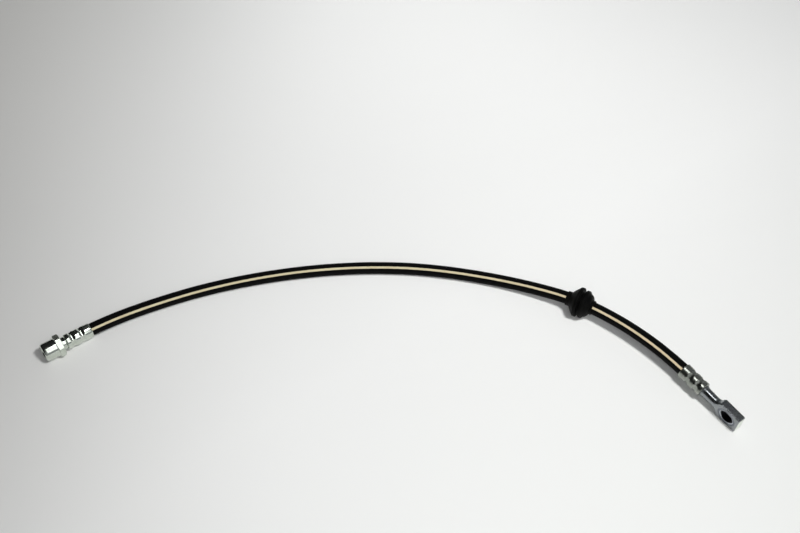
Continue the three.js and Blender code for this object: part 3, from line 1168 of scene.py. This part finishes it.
@dataclass
class BracketGrommet:
    """The rubber grommet that a bracket's plate clips round."""

    from_banjo_mouth: float = 101.6
    back: float = 10.3
    front: float = 13.3
    sleeve: float = 6.2
    bore: float = 5.27
    back_sleeve: float = 3.6
    back_step: float = 1.4
    front_sleeve: float = 2.2
    back_flange: float = 12.9
    front_flange: float = 12.1
    slot_floor: float = 9.5
    slot_width: float = 1.9
    rim: float = 3.2
    flange_round: float = 0.9
    lip: float = 0.35
    fillet: float = 0.3
    slot_flare: float = 0.1
    step_fillet: float = 0.4
    step_rise: float = 0.25
    steps: int = 96

    def profile(self) -> Profile:
        """Gives the closed section of the grommet.

        Returns:
            The points, out over the flanges and back along the bore.
        """
        slot_start = self.rim / 2
        slot_end = slot_start + self.slot_width
        dome_end = self.front - self.front_sleeve
        rim_end = slot_end + self.rim - self.flange_round
        reach = self.front_flange - self.flange_round
        dome = dome_end - slot_end
        stretch = (reach - self.sleeve) / dome
        arc = rounded((dome_end - dome, self.sleeve), dome, 58, 4, 10)
        flange, corner = self.flange_round, self.back_flange - self.flange_round
        back, step = -self.back, self.back_sleeve - self.back
        wall = self.slot_floor + self.slot_flare + self.fillet
        return [
            (back, self.bore),
            *rounded((back + self.lip, self.sleeve - self.lip), self.lip, 180, 90, 4),
            (step - self.step_fillet, self.sleeve), (step, self.sleeve + self.step_rise),
            (step + self.back_step / 2, self.sleeve + self.back_step),
            *rounded((flange - slot_start, corner), flange, 135, 90, 5),
            *rounded((slot_start - flange, corner), flange, 90, 0, 7),
            (slot_start - self.slot_flare, wall), (slot_start + self.fillet, self.slot_floor),
            (slot_end - self.fillet, self.slot_floor), (slot_end + self.slot_flare, wall),
            *rounded((slot_end + flange, reach), flange, 180, 90, 7),
            *rounded((rim_end, reach), flange, 90, 45, 5),
            *[(along, self.sleeve + (radius - self.sleeve) * stretch) for along, radius in arc],
            (dome_end + self.fillet, self.sleeve),
            *rounded((self.front - self.lip, self.sleeve - self.lip), self.lip, 90, 0, 4),
            (self.front, self.bore),
        ]

    def build(self) -> bpy.types.Object:
        """Builds and dresses the grommet.

        Returns:
            The piece.
        """
        piece = Piece("bracket_grommet_moulding")
        piece.turn(self.profile(), self.steps, closed=True)
        centre = HOSE_LINE.length - HOSE_LINE.inside - self.from_banjo_mouth
        return piece.finish(
            lambda co: HOSE_LINE.place(co + Vector((centre, 0, 0))),
            GROMMET_RUBBER.material(), Slot.RUBBER, "bracket_grommet")


# The studio


class LampKind(Enum):
    """The two kinds of lamp: a soft rectangle, or a wide spot without shadows."""

    SOFT = "AREA"
    SPOT = "SPOT"


@dataclass(frozen=True)
class Lamp:
    """One lamp over the table, with its place and aim in metres and its power in watts."""

    name: str
    kind: LampKind
    place: Point
    power: float
    size: Pair = (0.0, 0.0)
    aim: Point = (0.0, 0.0, 0.0)
    seen_in_metal: bool = False
    lights_table: bool = True
    cone: float = 76.0

    def hang(self) -> None:
        """Hangs the lamp."""
        data = bpy.data.lights.new(self.name, self.kind.value)
        data.energy = self.power
        if self.kind is LampKind.SOFT:
            data.shape = "RECTANGLE"
            data.size, data.size_y = self.size
        else:
            data.spot_size = math.radians(self.cone)
            data.spot_blend = 1.0
            data.use_shadow = False
        lamp = bpy.data.objects.new(self.name, data)
        lamp.location = self.place
        way = Vector(self.place) - Vector(self.aim)
        lamp.rotation_euler = way.to_track_quat("Z", "Y").to_euler()
        lamp.visible_glossy = self.seen_in_metal
        lamp.visible_diffuse = self.lights_table
        bpy.context.scene.collection.objects.link(lamp)


LAMPS = (
    Lamp("key_lamp", LampKind.SOFT, (0.14, -0.40, 0.92), 6.9, (0.14, 0.14)),
    Lamp("left_lamp", LampKind.SOFT, (-0.20, -0.36, 0.62), 0.6, (0.2, 0.2)),
    Lamp("far_left_spot", LampKind.SPOT, (0.10, 0.80, 0.85), 9.8, aim=(0.12, 0.62, 0.0)),
    Lamp("far_right_spot", LampKind.SPOT, (0.62, 0.42, 0.85), 10.0, aim=(0.61, 0.30, 0.0)),
    Lamp("front_lamp", LampKind.SOFT, (0.02, -0.62, 0.98), 2.0, (0.36, 1.3), seen_in_metal=True),
    Lamp("overhead_gleam", LampKind.SOFT, (0.10, -0.04, 1.0), 1.6, (0.19, 0.24),
         seen_in_metal=True, lights_table=False),
)


@dataclass
class Studio:
    """The table, the lamps, the world and the camera."""

    camera_place: Point = (-0.221, -0.317, 0.6117)
    camera_tilt: float = 40.0
    camera_turn: float = -37.0
    focal_length: float = 40.5
    sensor: float = 36.0
    floor_reach: float = 6.0
    floor_pale: Shade = (0.94, 0.945, 0.93)
    # The two darker table colours are painted shade: the table is coloured darker towards the left and
    # the back, and on the near side.
    floor_painted_shade: Shade = (0.56, 0.555, 0.535)
    floor_near_painted_shade: Shade = (0.79, 0.80, 0.78)
    painted_shade_slant: float = 0.75
    painted_shade_to_pale: Pair = (-0.69, -0.06)
    near_to_far: Pair = (-0.3, 0.03)
    floor_roughness: float = 0.55
    floor_specular: float = 0.2
    room_shade: Shade = (0.95, 0.97, 1.0)
    room_light: tuple[tuple[str, float, float, float, float], ...] = (
        ("Y", 0.015, 0.27, -0.2, -0.95), ("X", 0.0, 0.2, 0.12, 0.55))

    def camera(self) -> None:
        """Sets up the camera as the photograph's."""
        data = bpy.data.cameras.new("photo_camera")
        data.lens = self.focal_length
        data.sensor_width = self.sensor
        data.sensor_fit = "HORIZONTAL"
        data.clip_start = 0.01
        data.clip_end = 50.0
        camera = bpy.data.objects.new("photo_camera", data)
        camera.location = self.camera_place
        camera.rotation_euler = (math.radians(self.camera_tilt), 0.0, math.radians(self.camera_turn))
        bpy.context.scene.collection.objects.link(camera)
        bpy.context.scene.camera = camera

    def table(self) -> None:
        """Lays the pale table under the hose. Its colour is darker towards the left and the back and a
        little darker on the near side: painted shade for light that is weaker there.
        """
        piece = Piece("table")
        bmesh.ops.create_grid(piece.mesh, x_segments=8, y_segments=8, size=self.floor_reach)
        table = piece.thing()
        shader = Shader(bpy.data.materials.new("table_with_painted_shade"))
        split = shader.split(shader.coordinates("Object"))
        right = shader.math("SUBTRACT", split["X"], shader.math("MULTIPLY", split["Y"], self.painted_shade_slant))
        lit = shader.spread(right, 0.0, 1.0, *self.painted_shade_to_pale, smooth=True)
        far = shader.spread(split["Y"], 0.0, 1.0, *self.near_to_far)
        colour = shader.mix(
            lit, self.floor_painted_shade, shader.mix(far, self.floor_near_painted_shade, self.floor_pale))
        shader.link(colour, shader.principled.inputs["Base Color"])
        shader.put(
            shader.principled, Roughness=self.floor_roughness, Specular_IOR_Level=self.floor_specular)
        table.data.materials.append(shader.owner)

    def world(self) -> None:
        """Sets a dim room that is paler towards the near side, -Y, and a little towards +X."""
        world = bpy.data.worlds.new("studio_room")
        bpy.context.scene.world = world
        room = Shader(world)
        split = room.split(room.add("ShaderNodeTexCoord").outputs["Generated"])
        shares = [room.spread(split[axis], *change, smooth=True) for axis, *change in self.room_light]
        background = room.nodes["Background"]
        room.put(background, Color=(*self.room_shade, 1.0))
        room.link(room.math("ADD", *shares), background.inputs["Strength"])

    def build(self) -> None:
        """Builds the stage round the hose."""
        bpy.context.scene.view_settings.view_transform = "Standard"
        self.table()
        self.world()
        for lamp in LAMPS:
            lamp.hang()


def main() -> None:
    """Builds the camera, the hose, the pieces on it, its ends and the stage."""
    logging.basicConfig(level=logging.INFO, format="%(name)s: %(message)s")
    studio = Studio()
    studio.camera()
    hose = Hose().build()
    grommet = BracketGrommet().build()
    tuple(c * MM for c in FEMALE_END.mouth)
    [tuple(p * MM) for p in HOSE_LINE.points[::8]]
    FemaleFitting(FEMALE_END).build()
    Ferrule(EndFitting.FEMALE, FEMALE_END, -0.3, ZINC).build()
    BanjoFitting(BANJO_END).build()
    # The banjo end's ferrule gets the zinc painted darker, as painted shade.
    Ferrule(EndFitting.BANJO, BANJO_END, 0.2, ZINC_PAINTED_DARKER).build()
    studio.build()
    log.info("hose length %.1f mm", HOSE_LINE.length)


if __name__ == "__main__":
    main()
